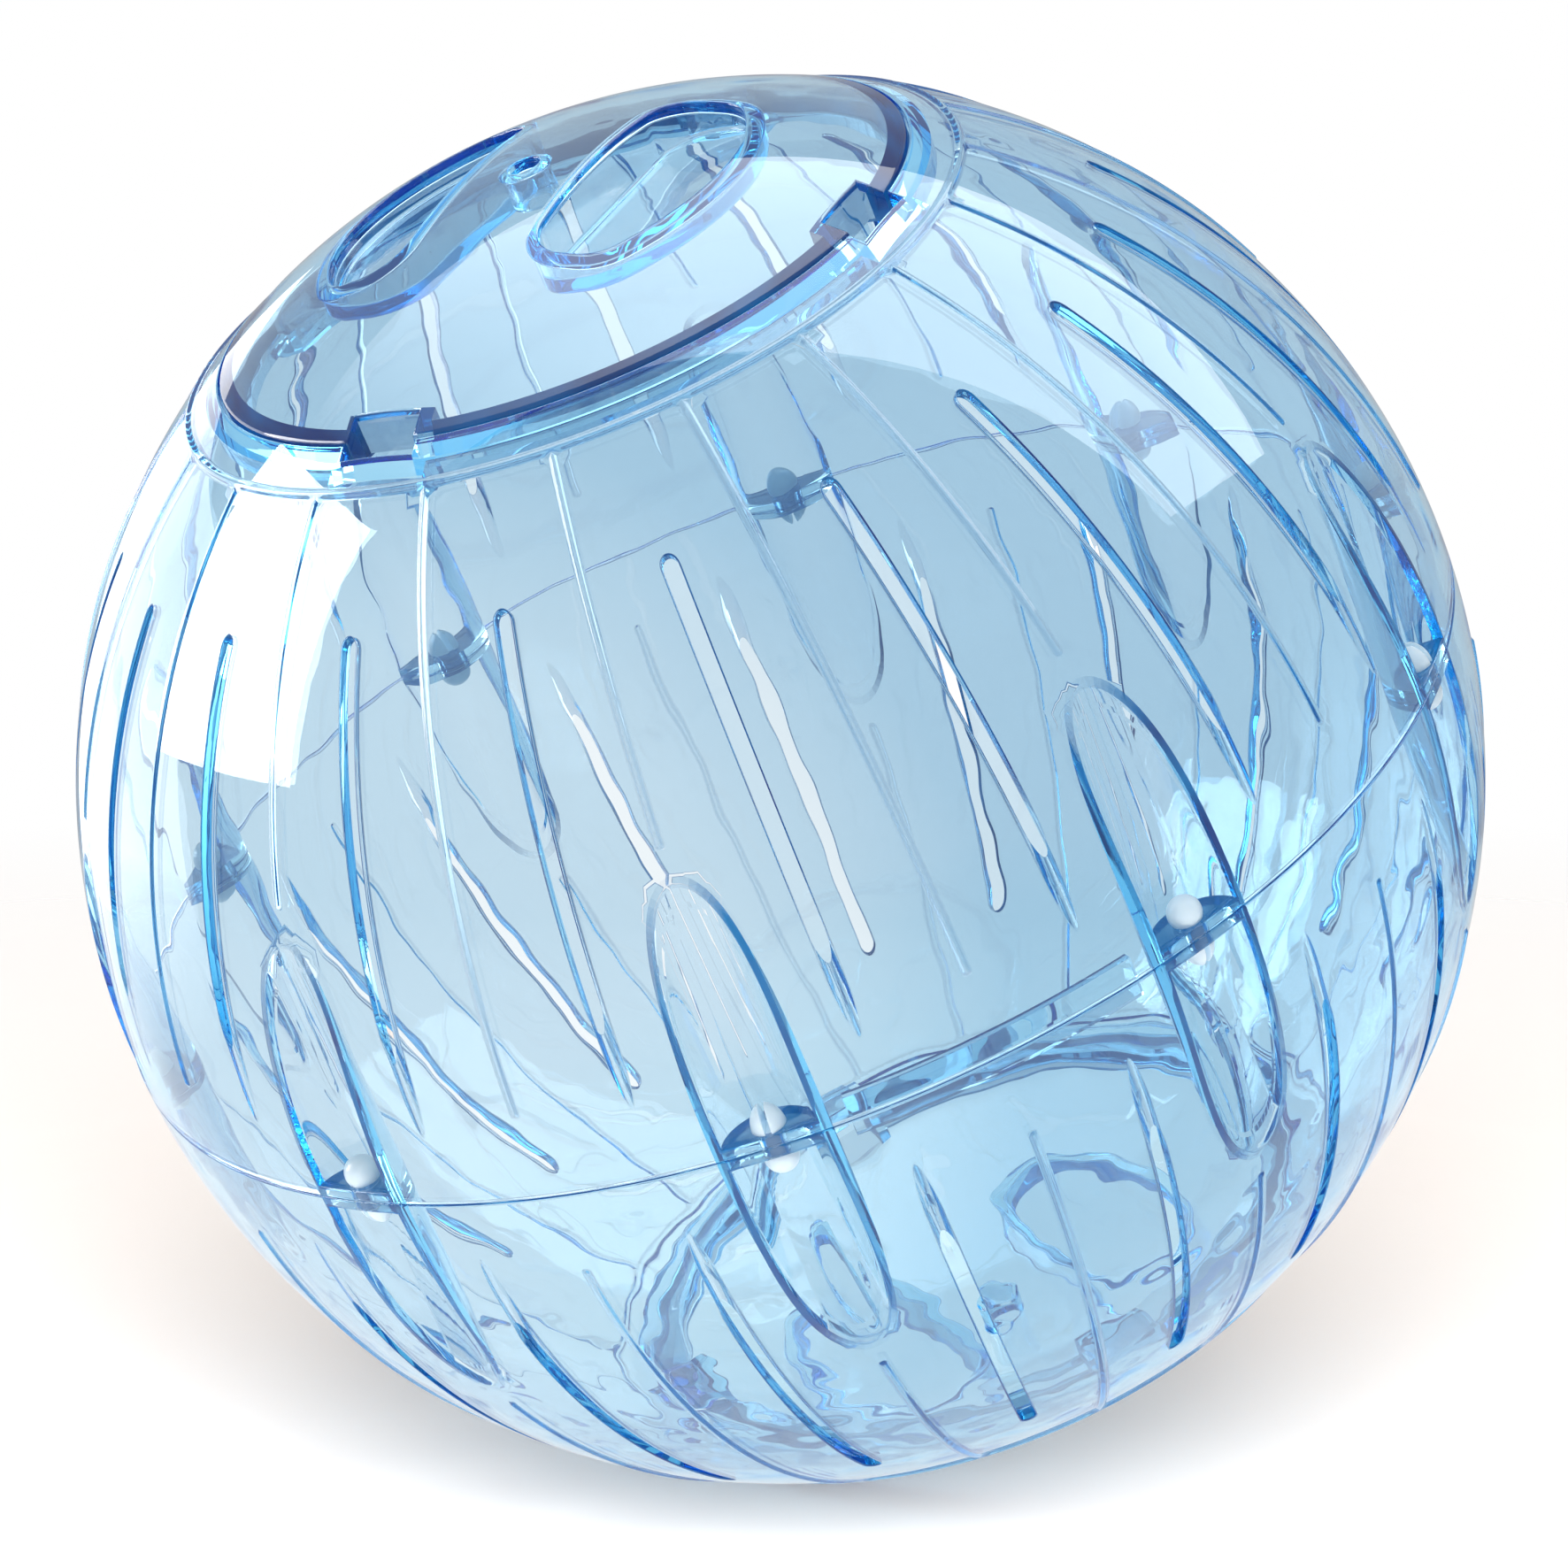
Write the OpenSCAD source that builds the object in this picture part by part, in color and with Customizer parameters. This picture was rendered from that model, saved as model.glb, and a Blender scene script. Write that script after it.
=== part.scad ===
// Clear exercise ball for a hamster: two half shells held together by snap pins around the seam,
// with a twist-off lid at each pole. The two halves are the same moulding, turned over, and so are
// the two lids. The origin is the centre of the ball, and Z is the axis through both lids.

/* [Ball] */
// Outer diameter of the ball
ball_d = 180; // [150:1:220]
// Thickness of the shell's wall
shell_wall = 1.6; // [1.2:0.1:2]
// Number of pins around the seam, and of sectors between them
sectors = 10; // [8:2:12]

/* [Air slots] */
// Width of an air slot
slot_w = 2.1; // [1.5:0.1:3]
// Length of a slot as seen along the axis, square to the seam
slot_run = 23.5; // [12:0.5:28]
// How far inside the ball's widest line a slot ends
slot_inset = 2.05; // [1.8:0.05:4]
// Angle between a pin and the slot on each side of it
slot_angle = 9; // [8:0.5:10]

/* [Pin channels] */
// Width of the upright channel in which a pin sits
channel_d = 11.8; // [10:0.2:14]
// How far inside the ball's widest line the channel's axis lies
channel_inset = 0.3; // [0:0.1:1]
// Thickness of the channel's wall
channel_wall = 1.4; // [1:0.1:1.8]
// Thickness of the tab that closes each half's channel at the seam
tab_t = 1.5; // [1:0.1:2.4]

/* [Snap pins] */
// Diameter of a pin's shank
pin_shank_d = 3; // [2:0.1:3.6]
// Diameter of a pin's round head
pin_head_d = 4.3; // [3.8:0.1:5]
// How far inside the ball's widest line a pin's axis lies
pin_inset = 2.5; // [2.3:0.1:3.5]
// Length of the split tip beyond the tabs
pin_tip_l = 3.4; // [2.6:0.1:5]
// Width of the split in the tip
pin_split_w = 0.8; // [0.5:0.1:1.2]

/* [Ribs and lips] */
// Distance from a lid opening's edge to the raised ring around it
ring_gap = 5.4; // [3.6:0.1:8]
// Width of the ring
ring_w = 1.4; // [1.2:0.1:2]
// How far the ring stands above the ball's surface
ring_h = 0.4; // [0.3:0.05:0.6]
// Width of a rib
rib_w = 1.1; // [0.8:0.1:1.6]
// How far a rib stands above the ball's surface
rib_h = 0.3; // [0.2:0.05:0.5]
// Height above the seam at which a long rib ends
long_rib_z = 11.6; // [6:0.2:20]
// Length left bare between a short rib and the channel below it
short_rib_gap = 4.5; // [2:0.5:10]
// Height of the locating lip on each side of the seam
lip_h = 2.6; // [1.5:0.1:4]
// Thickness of the locating lip
lip_t = 1.2; // [0.8:0.1:1.6]
// Angle that the locating lip spans
lip_angle = 24; // [10:1:26]
// Sector that carries the lip, counted from the pin that faces the viewer
lip_sector = 0; // [0:1:9]

/* [Lid openings] */
// Diameter of the opening in which a lid sits
opening_d = 90.8; // [88:0.2:94]
// Thickness of the collar around the opening
collar_wall = 1.6; // [1.2:0.1:2]
// How far the ledge under the lid's rim reaches into the opening
ledge_w = 3.4; // [3:0.1:4]
// Thickness of the ledge
ledge_t = 1.4; // [1:0.1:2]

/* [Lids] */
// Thickness of a lid's wall
lid_wall = 1.6; // [1.2:0.1:2]
// Width of a lid's rim
rim_w = 2.7; // [2:0.1:3]
// Height of a lid's rim at its outer edge
rim_h = 3.5; // [2.6:0.1:5]
// Direction of the upper lid's finger pockets, counted from the X axis
lid_turn = -27.5; // [-60:0.5:60]
// Diameter of the bore through a lid's boss
bore_d = 4.2; // [3:0.1:4.6]
// Diameter of the boss
boss_d = 6.1; // [5.8:0.1:8]
// Length of the boss
boss_l = 5.7; // [4:0.1:8]

/* [Finger pockets] */
// Distance from the lid's centre to a pocket's straight side
pocket_near = 9.9; // [9:0.1:13]
// Distance from the lid's centre to a pocket's curved side
pocket_far = 27.2; // [24:0.2:32]
// Width of a pocket
pocket_w = 37.6; // [30:0.2:42]
// Radius of a pocket's corners
pocket_corner = 5.4; // [3:0.1:7]
// Depth of a pocket's floor below the pole
pocket_depth = 7.5; // [6:0.1:10]
// Thickness of a pocket's walls and floor
pocket_wall = 1.5; // [1:0.1:2]

/* [Bayonet lugs] */
// Number of lugs
lugs = 4; // [3:1:4]
// Width of a lug
lug_w = 9.6; // [6:0.2:12]
// Thickness of a lug
lug_t = 1.6; // [1:0.1:2.2]
// How far a lug reaches beyond the opening
lug_reach = 0.9; // [0.5:0.1:1.4]
// Thickness of the walls that carry a lug
lug_wall = 1.4; // [1:0.1:1.8]
// Angle through which a lid turns to lock
lock_angle = 20; // [14:1:30]

/* [Fits] */
// Gap around a lid's rim in its opening
lid_gap = 0.3; // [0.2:0.05:0.5]
// Gap between a lid's rim and its ledge, and between a lug and the ledge above it
seat_gap = 0.2; // [0.1:0.05:0.4]
// Gap around a lug in its notch
notch_gap = 0.5; // [0.3:0.1:0.8]
// Gap around a pin's shank in its holes
pin_gap = 0.1; // [0.05:0.05:0.3]
// Gap between the locating lip and the half that it guides
lip_gap = 0.15; // [0.1:0.05:0.3]

/* [Hidden] */
$fn = 96;

// Overrun of a cut past the solid that it cuts
over = 2;
// Steps of the arcs in a pocket's corners and in its curved side
corner_steps = 7;
side_steps = 16;
// Direction of the first pin, which faces the viewer
first_pin = -90;
// Angle from one pin to the next
pitch = 360 / sectors;

ball_r = ball_d / 2;
inner_r = ball_r - shell_wall;
slot_far = ball_r - slot_inset;
slot_near = slot_far - slot_run;
channel_r = channel_d / 2;
channel_x = ball_r - channel_inset;
pin_x = ball_r - pin_inset;
opening_r = opening_d / 2;
ring_r = opening_r + ring_gap;

// Radius of a circle that stands above a chord of width w by h
function bead_r(w, h) = (w * w / 4 + h * h) / (2 * h);

ring_bead = bead_r(ring_w, ring_h);
rib_bead = bead_r(rib_w, rib_h);

// Height at which a circle of radius r around Z lies on a sphere of radius s
function height_on(s, r) = sqrt(s * s - r * r);

// Latitude of a point at height z on the ball
function latitude(z) = asin(z / ball_r);

opening_z = height_on(ball_r, opening_r);
ring_lat = latitude(height_on(ball_r, ring_r));
rim_z = opening_z - rim_h;
ledge_top = rim_z - seat_gap;
ledge_bottom = ledge_top - ledge_t;
ledge_r = opening_r - ledge_w;
channel_tip_z = height_on(ball_r, channel_x - channel_r);
lid_r = opening_r - lid_gap;
lug_top = ledge_bottom - seat_gap;
lug_r = opening_r + lug_reach;
stem_r = ledge_r - lid_gap;
notch_r = lug_r + notch_gap;
notch_w = lug_w + 2 * notch_gap;
floor_bottom = ball_r - pocket_depth - pocket_wall;

// Everything above the seam, out to the ball's surface
module upper_space() {
    intersection() {
        sphere(ball_r);
        cylinder(h = ball_r + over, r = ball_r + over);
    }
}

// Copies of the children at each pin, turned on by an angle
module at_pins(shift = 0) {
    for (i = [0 : sectors - 1]) rotate(first_pin + shift + i * pitch) children();
}

// Copies of the children at each lug, on a lid that is turned by an angle
module at_lugs() {
    for (i = [0 : lugs - 1]) rotate(lid_turn + i * 360 / lugs) children();
}

// A ring or a sector around Z, between two radii and two heights
module band(r_in, r_out, z_low, z_high, angle = 360) {
    rotate(angle < 360 ? -angle / 2 : 0)
        rotate_extrude(angle = angle)
            translate([r_in, z_low]) square([r_out - r_in, z_high - z_low]);
}

// Plan of an air slot, which runs outwards along X
module slot_plan() {
    translate([slot_near + slot_w / 2, -slot_w / 2]) square([slot_run - slot_w, slot_w]);
    translate([slot_near + slot_w / 2, 0]) circle(d = slot_w);
    translate([slot_far - slot_w / 2, 0]) circle(d = slot_w);
}

// A rib that follows the ball's surface between two latitudes, in the plane of X and Z
module rib(low, high) {
    rotate([90, 0, 0])
        rotate(low)
            rotate_extrude(angle = high - low)
                translate([ball_r + rib_h - rib_bead, 0]) circle(r = rib_bead, $fn = 32);
}

// One half shell, above the seam, with or without the locating lip
module half_shell(lipped) {
    difference() {
        union() {
            difference() {
                upper_space();
                sphere(inner_r);
            }
            intersection() {
                upper_space();
                union() {
                    band(ledge_r, opening_r + collar_wall, ledge_bottom, ball_r);
                    at_lugs() notch_bump();
                    at_pins() translate([channel_x, 0]) cylinder(h = ball_r, r = channel_r + channel_wall);
                }
            }
            at_lugs() rotate(-lock_angle) lock_stop();
            if (lipped) rotate(first_pin + (lip_sector + 0.5) * pitch) locating_lip();
        }
        translate([0, 0, ledge_top]) cylinder(h = ball_r, r = opening_r);
        translate([0, 0, ledge_bottom - over]) cylinder(h = ball_r, r = ledge_r);
        at_lugs() lug_notch();
        at_pins() channel_cut();
        at_pins() pin_hole();
        for (side = [-1, 1]) at_pins(side * slot_angle)
            translate([0, 0, 2 * lip_h]) linear_extrude(ball_r) slot_plan();
    }
    rotate_extrude() rotate(ring_lat)
        translate([ball_r + ring_h - ring_bead, 0]) circle(r = ring_bead, $fn = 32);
    at_pins(pitch / 2) rib(latitude(long_rib_z), ring_lat);
    at_pins() rib(latitude(channel_tip_z + short_rib_gap), ring_lat);
}

// The upright channel that a pin is reached through, down to the tab that the pin holds
module channel_cut() {
    translate([channel_x, 0, tab_t]) cylinder(h = ball_r, r = channel_r);
}

// Hole for a pin through one tab
module pin_hole() {
    translate([pin_x, 0, -over]) cylinder(h = tab_t + 2 * over, d = pin_shank_d + 2 * pin_gap);
}

// Thickening of the collar behind a notch
module notch_bump() {
    reach = notch_r + collar_wall;
    width = notch_w + 2 * collar_wall;
    translate([ledge_r, -width / 2, ledge_bottom]) cube([reach - ledge_r, width, ball_r - ledge_bottom]);
}

// Notch through which a lug passes when the lid is lifted
module lug_notch() {
    translate([ledge_r - over, -notch_w / 2, ledge_bottom - over])
        cube([notch_r - ledge_r + over, notch_w, ball_r]);
}

// Stop under the ledge that a lug meets at the end of its turn
module lock_stop() {
    lead = asin((lug_w / 2 + notch_gap) / opening_r);
    rotate(-lead - asin(lug_wall / 2 / opening_r))
        translate([ledge_r + seat_gap, -lug_wall / 2, lug_top - lug_t])
            cube([opening_r + seat_gap - ledge_r, lug_wall, ledge_bottom - lug_top + lug_t]);
}

// Lip around X, which reaches past the seam and centres the other half
module locating_lip() {
    band(inner_r - lip_gap - lip_t, inner_r - lip_gap, -lip_h, lip_h, lip_angle);
    band(inner_r - lip_gap - lip_t, inner_r + shell_wall / 2, 0, lip_h, lip_angle);
}

// Points along an arc around [x, y], from angle a to angle b
function arc(x, y, r, a, b, steps) =
    [for (i = [0 : steps]) [x + r * cos(a + (b - a) * i / steps), y + r * sin(a + (b - a) * i / steps)]];

// Outline of a finger pocket on the X side, with each edge moved outwards by grow
function pocket_outline(grow) =
    let (far = pocket_far + grow,
         corner = pocket_corner + grow,
         y = pocket_w / 2 + grow - corner,
         x = pocket_near - grow + corner,
         x_far = sqrt((far - corner) * (far - corner) - y * y),
         turn = atan2(y, x_far),
         side_turn = turn * (1 - 2 / side_steps))
    concat(arc(x, -y, corner, 180, 270, corner_steps),
           arc(x_far, -y, corner, 270, 360 - turn, corner_steps),
           arc(0, 0, far, -side_turn, side_turn, side_steps - 2),
           arc(x_far, y, corner, turn, 90, corner_steps),
           arc(x, y, corner, 90, 180, corner_steps));

// A finger pocket on the X side as an upright block that starts at height low
module pocket_block(grow, low) {
    translate([0, 0, low]) linear_extrude(ball_r - low + over) polygon(pocket_outline(grow));
}

// One lid, above the seam, with its pockets along X
module lid() {
    difference() {
        union() {
            difference() {
                upper_space();
                sphere(ball_r - lid_wall);
                translate([0, 0, -over]) difference() {
                    cylinder(h = ball_r + 2 * over, r = ball_r + over);
                    translate([0, 0, -over]) cylinder(h = ball_r + 4 * over, r = lid_r);
                }
            }
            intersection() {
                upper_space();
                union() {
                    band(lid_r - rim_w, lid_r, rim_z, ball_r);
                    for (a = [0, 180]) rotate(a) pocket_block(pocket_wall, floor_bottom);
                    translate([0, 0, ball_r - boss_l]) cylinder(h = boss_l, d = boss_d);
                    for (i = [0 : lugs - 1]) rotate(i * 360 / lugs) lug_block();
                }
            }
        }
        for (a = [0, 180]) rotate(a) pocket_block(0, floor_bottom + pocket_wall);
        translate([0, 0, ball_r - boss_l - over]) cylinder(h = boss_l + 2 * over, d = bore_d);
        for (i = [0 : lugs - 1]) rotate(i * 360 / lugs) lug_window();
    }
}

// A lug with the walls that hang it from the lid
module lug_block() {
    width = lug_w + 2 * lug_wall;
    low = lug_top - lug_t;
    translate([stem_r - lug_wall, -lug_w / 2, low]) cube([lug_r - stem_r + lug_wall, lug_w, lug_t]);
    translate([stem_r - lug_wall, -lug_w / 2, low]) cube([lug_wall, lug_w, ball_r - low]);
    translate([stem_r - lug_wall, -width / 2, rim_z])
        cube([lid_r - rim_w / 2 - stem_r + lug_wall, width, ball_r - rim_z]);
}

// Window through the rim above a lug
module lug_window() {
    translate([stem_r, -lug_w / 2, lug_top]) cube([ball_r, lug_w, ball_r]);
}

// A snap pin, standing on Z through the seam, with its ball head up and its pointed, split tip down
module snap_pin() {
    head_r = pin_head_d / 2;
    side_r = (head_r * head_r + pin_tip_l * pin_tip_l) / pin_head_d;
    difference() {
        union() {
            translate([0, 0, -tab_t]) cylinder(h = 2 * tab_t, d = pin_shank_d);
            translate([0, 0, tab_t]) intersection() {
                translate([0, 0, head_r / 2]) sphere(head_r);
                cylinder(h = pin_head_d, r = pin_head_d);
            }
            translate([0, 0, -tab_t]) mirror([0, 0, 1]) rotate_extrude() intersection() {
                translate([head_r - side_r, 0]) circle(side_r);
                square([head_r, pin_tip_l - pin_split_w / 2]);
            }
        }
        translate([-pin_head_d, -pin_split_w / 2, -tab_t - pin_tip_l])
            cube([2 * pin_head_d, pin_split_w, pin_tip_l]);
    }
}

// Pin number i, counted from 0, with every second one pushed in from below
module pin(i) {
    color("whitesmoke")
        rotate(first_pin + i * pitch)
            translate([pin_x, 0])
                rotate([i % 2 == 0 ? 180 : 0, 0]) snap_pin();
}

module upper_half() {
    color("lightskyblue") half_shell(lipped = true);
}

module lower_half() {
    color("skyblue") rotate([0, 180, 0]) half_shell(lipped = false);
}

module upper_lid() {
    color("deepskyblue") rotate(lid_turn) lid();
}

module lower_lid() {
    color("dodgerblue") rotate([0, 180, 0]) rotate(lid_turn) lid();
}

upper_half();
lower_half();
upper_lid();
lower_lid();
pin(0);  // pin_1
pin(1);  // pin_2
pin(2);  // pin_3
pin(3);  // pin_4
pin(4);  // pin_5
pin(5);  // pin_6
pin(6);  // pin_7
pin(7);  // pin_8
pin(8);  // pin_9
pin(9);  // pin_10
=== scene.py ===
"""Clear ball for a hamster on a pale studio floor: blue-tinted half shells and lids, white pins.

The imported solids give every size. The scene is in metres, and the pieces' sizes and forms are in
millimetres and degrees. Z is the axis through both lids, and the ball's centre is the origin.
"""

import logging
import math
from collections.abc import Callable
from dataclasses import dataclass, field
from enum import Enum

import bmesh
import bpy
import numpy as np
from mathutils import Matrix, Vector
from mathutils.geometry import delaunay_2d_cdt
from mathutils.kdtree import KDTree


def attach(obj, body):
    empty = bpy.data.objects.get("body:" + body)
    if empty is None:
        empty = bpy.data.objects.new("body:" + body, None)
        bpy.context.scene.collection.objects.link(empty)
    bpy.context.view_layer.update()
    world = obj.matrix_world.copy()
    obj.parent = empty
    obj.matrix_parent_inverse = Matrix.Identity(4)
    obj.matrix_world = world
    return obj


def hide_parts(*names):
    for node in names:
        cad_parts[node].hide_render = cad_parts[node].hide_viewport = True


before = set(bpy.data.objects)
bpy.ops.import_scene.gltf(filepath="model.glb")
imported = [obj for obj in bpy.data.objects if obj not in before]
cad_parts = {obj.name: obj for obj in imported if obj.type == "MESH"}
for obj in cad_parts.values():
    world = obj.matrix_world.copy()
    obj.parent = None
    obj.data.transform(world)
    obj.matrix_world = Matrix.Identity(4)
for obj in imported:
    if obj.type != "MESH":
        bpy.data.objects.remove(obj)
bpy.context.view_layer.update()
log = logging.getLogger("ball")
MM = 0.001
STEP = 1.2
WHITE = (1.0, 1.0, 1.0, 1.0)
Points = np.ndarray
Triple = tuple[float, float, float]


class Maths(Enum):
    """Operations of a Math node that the shader expressions use."""

    ADD = "ADD"
    SUBTRACT = "SUBTRACT"
    MULTIPLY = "MULTIPLY"
    DIVIDE = "DIVIDE"


class Value:
    """A number that runs along a socket, so that shader maths reads as Python."""

    def __init__(self, shader: "Shader", socket: bpy.types.NodeSocket | None) -> None:
        """Keeps the socket and the shader that it belongs to."""
        self.shader, self.socket = shader, socket

    def _join(self, kind: Maths, first: object, second: object, clamp: bool = False) -> "Value":
        """One Math node on two numbers or sockets."""
        return self.shader.node(
            "Math", {0: first, 1: second}, operation=kind.value, use_clamp=clamp)

    def __add__(self, other: object) -> "Value":
        """self + other"""
        return self._join(Maths.ADD, self, other)

    def __sub__(self, other: object) -> "Value":
        """self - other"""
        return self._join(Maths.SUBTRACT, self, other)

    def __rsub__(self, other: object) -> "Value":
        """other - self"""
        return self._join(Maths.SUBTRACT, other, self)

    def __mul__(self, other: object) -> "Value":
        """self * other"""
        return self._join(Maths.MULTIPLY, self, other)

    def __truediv__(self, other: object) -> "Value":
        """self / other"""
        return self._join(Maths.DIVIDE, self, other)

    def __rtruediv__(self, other: object) -> "Value":
        """other / self"""
        return self._join(Maths.DIVIDE, other, self)

    def clamp(self) -> "Value":
        """self held between 0 and 1"""
        return self._join(Maths.ADD, self, 0.0, clamp=True)

    __radd__ = __add__
    __rmul__ = __mul__


class Shader:
    """A node tree that is filled through one method."""

    def __init__(self, owner: bpy.types.ID) -> None:
        """Empties a node tree.

        Args:
            owner: The material, world or lamp's data that it belongs to.
        """
        owner.use_nodes = True
        self.tree = owner.node_tree
        self.tree.nodes.clear()

    def node(self, kind: str, sockets: dict | None = None, out: str | int = 0,
             **settings: object) -> Value:
        """Adds a node, sets it up and gives one of its outputs.

        Args:
            kind: The node's type, less the ShaderNode in front.
            sockets: Values or links for its input sockets, by name or number.
            out: The output to give back.
            settings: Its own settings, such as a Math node's operation.

        Returns:
            The output, ready for shader maths.
        """
        made = self.tree.nodes.new("ShaderNode" + kind)
        for name, value in settings.items():
            setattr(made, name, value)
        for name, value in (sockets or {}).items():
            if isinstance(value, Value):
                self.tree.links.new(value.socket, made.inputs[name])
            else:
                made.inputs[name].default_value = value
        return Value(self, made.outputs[out] if len(made.outputs) else None)

    def blend(self, share: Value, first: Value | Triple, second: Value | Triple) -> Value:
        """A colour on the way from a first to a second one."""
        ends = [end if isinstance(end, Value) else (*end, 1.0) for end in (first, second)]
        return self.node("Mix", {0: share, 6: ends[0], 7: ends[1]}, 2, data_type="RGBA")

    def rays(self, *kinds: str) -> list[Value]:
        """Whether a ray is of each of the kinds, as 0 or 1."""
        return [self.node("LightPath", out=f"Is {kind} Ray") for kind in kinds]


@dataclass(frozen=True)
class ClearPlastic:
    """Tinted transparent plastic, made paler towards one side by painted light and deeper at the
    bottom by painted shade.

    Part of its colour is met at each face and part on the way through. Its inner face is wavy,
    more so in the lower half.
    """

    name: str
    ior: float = 1.56
    deep_tint: Triple = (0.69, 0.78, 0.846)
    # painted light: the tint turns paler towards one side of the ball, as light falling there makes
    # it look
    painted_light_tint: Triple = (1.0, 0.965, 0.955)
    painted_light_side: Triple = (-0.4402, -0.8664, 0.2285)
    painted_light_length: float = 0.018
    painted_light_start: float = 3.3
    # painted shade: a deeper tint towards the bottom of the ball
    painted_shade_tint: Triple = (0.6, 0.765, 0.85)
    painted_shade_rate: float = -45.0
    painted_shade_start: float = 2.4
    density: float = 84.0
    inner_tint: Triple = (0.03, 0.75, 0.97)
    # painted light: a faint blue glow, though the plastic is no lamp, for light led along the wall
    glow: Triple = (0.12, 0.4, 1.0)
    painted_glow_strength: float = 0.014
    haze: float = 0.06
    haze_start: float = 0.62
    # painted shade and guided light at the edges: an opaque blue that glows, navy where darkest and
    # azure where lighter
    painted_navy_shade: Triple = (0.012, 0.035, 0.16)
    painted_azure_light: Triple = (0.003, 0.13, 0.34)
    azure_start: float = 1.4
    azure_flow: float = 2.5
    end_roughness: float = 0.3
    painted_end_glow: float = 0.45
    flow_scale: float = 110.0
    inner_side: float = 0.0892
    inner_rate: float = -4000.0
    wave: float = 0.000065
    wave_growth: float = 1.7
    wave_rate: float = -40.0

    def make(self) -> bpy.types.Material:
        """Builds the material.

        Returns:
            A glass-like surface round an absorbing inside, with a faint painted glow for light that
            is led
            along the wall. Where the edge value is above 0, the wall ends in an opaque blue that
            glows:
            painted shade and painted guided light.
        """
        material = bpy.data.materials.new(self.name)
        shader = Shader(material)
        place = shader.node("TexCoord", out="Object")
        height = shader.node("SeparateXYZ", {0: place}, 2)
        radius = shader.node("VectorMath", {0: place}, "Value", operation="LENGTH")
        toward = shader.node("VectorMath", {0: place, 1: self.painted_light_side}, "Value",
                             operation="DOT_PRODUCT")
        flow = shader.node("TexNoise", {"Vector": place, "Scale": self.flow_scale, "Detail": 1.0})
        inside = ((radius - self.inner_side) * self.inner_rate).clamp()
        growth = 1 + (height * self.wave_rate).clamp() * self.wave_growth
        bump = shader.node("Bump", {
            "Height": flow * inside * growth, "Distance": self.wave, "Strength": 1.0})
        # painted light: share of the paler tint, growing towards one side
        painted_light_share = (toward / self.painted_light_length - self.painted_light_start).clamp()
        upper = shader.blend(painted_light_share, self.deep_tint, self.painted_light_tint)
        # painted shade: the tint deepens towards the bottom
        tint = shader.blend((height * self.painted_shade_rate - self.painted_shade_start).clamp(), upper, self.painted_shade_tint)
        surface = shader.node("BsdfPrincipled", {
            "Base Color": tint,
            "Roughness": (flow - self.haze_start).clamp() * self.haze,
            "IOR": self.ior,
            "Transmission Weight": 1.0,
            "Emission Color": (*self.glow, 1.0),
            "Emission Strength": self.painted_glow_strength,
            "Normal": bump,
        })
        # painted edge blue: the edge value mixes in the opaque glowing blue, painted shade and
        # guided light
        edge = shader.node("Attribute", out="Fac", attribute_name="edge")
        depth = (self.azure_start - edge + (flow - 0.5) * self.azure_flow).clamp()
        blue = shader.blend(depth, self.painted_navy_shade, self.painted_azure_light)
        end = shader.node("BsdfPrincipled", {
            "Base Color": blue, "Roughness": self.end_roughness,
            "Emission Color": blue, "Emission Strength": self.painted_end_glow})
        whole = shader.node("MixShader", {0: edge.clamp(), 1: surface, 2: end})
        inner = shader.node("VolumeAbsorption", {
            "Color": (*self.inner_tint, 1.0), "Density": self.density})
        shader.node("OutputMaterial", {"Surface": whole, "Volume": inner})
        return material


@dataclass(frozen=True)
class WhitePlastic:
    """Slightly see-through white plastic of the snap pins, with soft clouds and moulding marks."""

    name: str
    colour: Triple = (0.66, 0.77, 0.85)
    cloud_colour: Triple = (0.55, 0.7, 0.82)
    cloud_scale: float = 700.0
    cloud_start: float = 0.4
    grain_scale: float = 5000.0
    grain_height: float = 0.000015
    grain_strength: float = 0.5
    roughness: float = 0.26
    cloud_roughness: float = 0.12
    # painted light: a pale blue glow, though the pins are no lamp
    glow: Triple = (0.45, 0.72, 0.9)
    painted_glow_strength: float = 0.18

    def make(self) -> bpy.types.Material:
        """Builds the material.

        Returns:
            A soft gloss white with a little light passing under its surface, and a painted pale
            blue glow.
        """
        material = bpy.data.materials.new(self.name)
        shader = Shader(material)
        place = shader.node("TexCoord", out="Object")
        cloud = shader.node("TexNoise", {"Vector": place, "Scale": self.cloud_scale, "Detail": 3.0})
        grain = shader.node("TexNoise", {"Vector": place, "Scale": self.grain_scale, "Detail": 2.0})
        surface = shader.node("BsdfPrincipled", {
            "Base Color": shader.blend(
                (cloud - self.cloud_start).clamp(), self.colour, self.cloud_colour),
            "Roughness": self.roughness + cloud * self.cloud_roughness,
            "Emission Color": (*self.glow, 1.0),
            "Emission Strength": self.painted_glow_strength,
            "Subsurface Weight": 0.3,
            "Subsurface Radius": (0.8, 0.9, 1.0),
            "Subsurface Scale": MM,
            "Coat Weight": 0.2,
            "Coat Roughness": 0.15,
            "Normal": shader.node("Bump", {
                "Height": grain, "Distance": self.grain_height, "Strength": self.grain_strength}),
        })
        shader.node("OutputMaterial", {"Surface": surface})
        return material


def in_scene(item: bpy.types.Object) -> bpy.types.Object:
    """Links an object to the scene and gives it back."""
    bpy.context.scene.collection.objects.link(item)
    return item


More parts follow.
